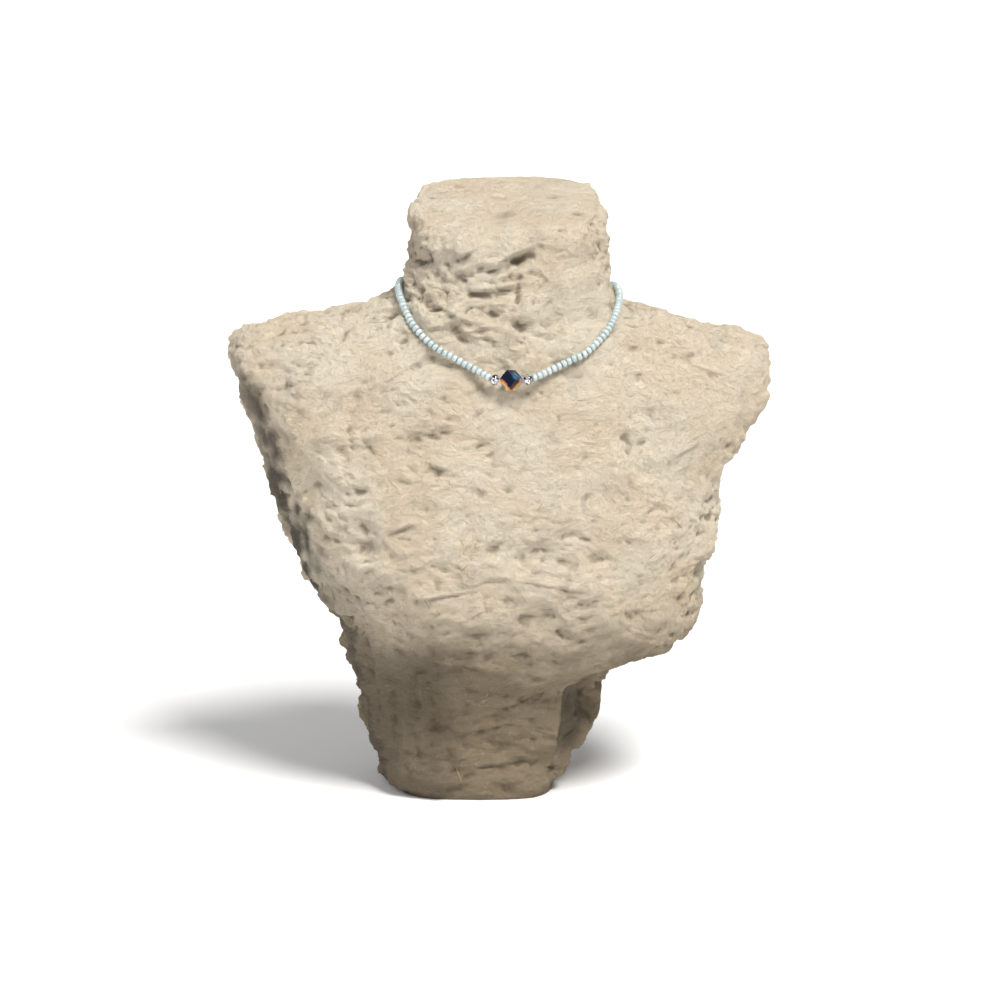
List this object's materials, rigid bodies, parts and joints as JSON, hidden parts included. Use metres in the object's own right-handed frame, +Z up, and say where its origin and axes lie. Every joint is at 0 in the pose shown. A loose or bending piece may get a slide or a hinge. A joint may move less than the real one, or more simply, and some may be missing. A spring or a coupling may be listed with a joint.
{
  "type": "beaded choker necklace on neck bust",
  "caption": "Choker of pale pearl seed beads with a dark coated crystal cube between silver rondelles, resting on a rough stone-like neck bust.",
  "frame": {"origin": "centre of the bust's flat foot, on the surface that it stands on", "axes": "+Z up, the wearer's front towards -Y, +X to the right seen from the front"},
  "size_m": [0.293, 0.1252, 0.3338],
  "materials": {
    "rough_stone": "rough, flaky, pitted cream cast with straw bits, fully matt",
    "coated_crystal": "polished cut crystal, dark blue metallic coating that turns amber to clear along its lower edges",
    "clear_nylon": "clear nylon beading thread",
    "silver_metal": "polished silver-coloured plate",
    "pearl_glass": "glossy milky aqua glass with a pearl lustre"
  },
  "bodies": {
    "root": {"neck_bust": "rough_stone", "crystal_cube": "coated_crystal", "centre_thread": "clear_nylon", "spacer_bead_right": "silver_metal", "spacer_bead_left": "silver_metal", "seed_beads_front_right": "pearl_glass", "seed_beads_back_right": "pearl_glass", "seed_beads_front_left": "pearl_glass", "seed_beads_back_left": "pearl_glass", "barrel_clasp": "silver_metal"}
  },
  "joints": []
}
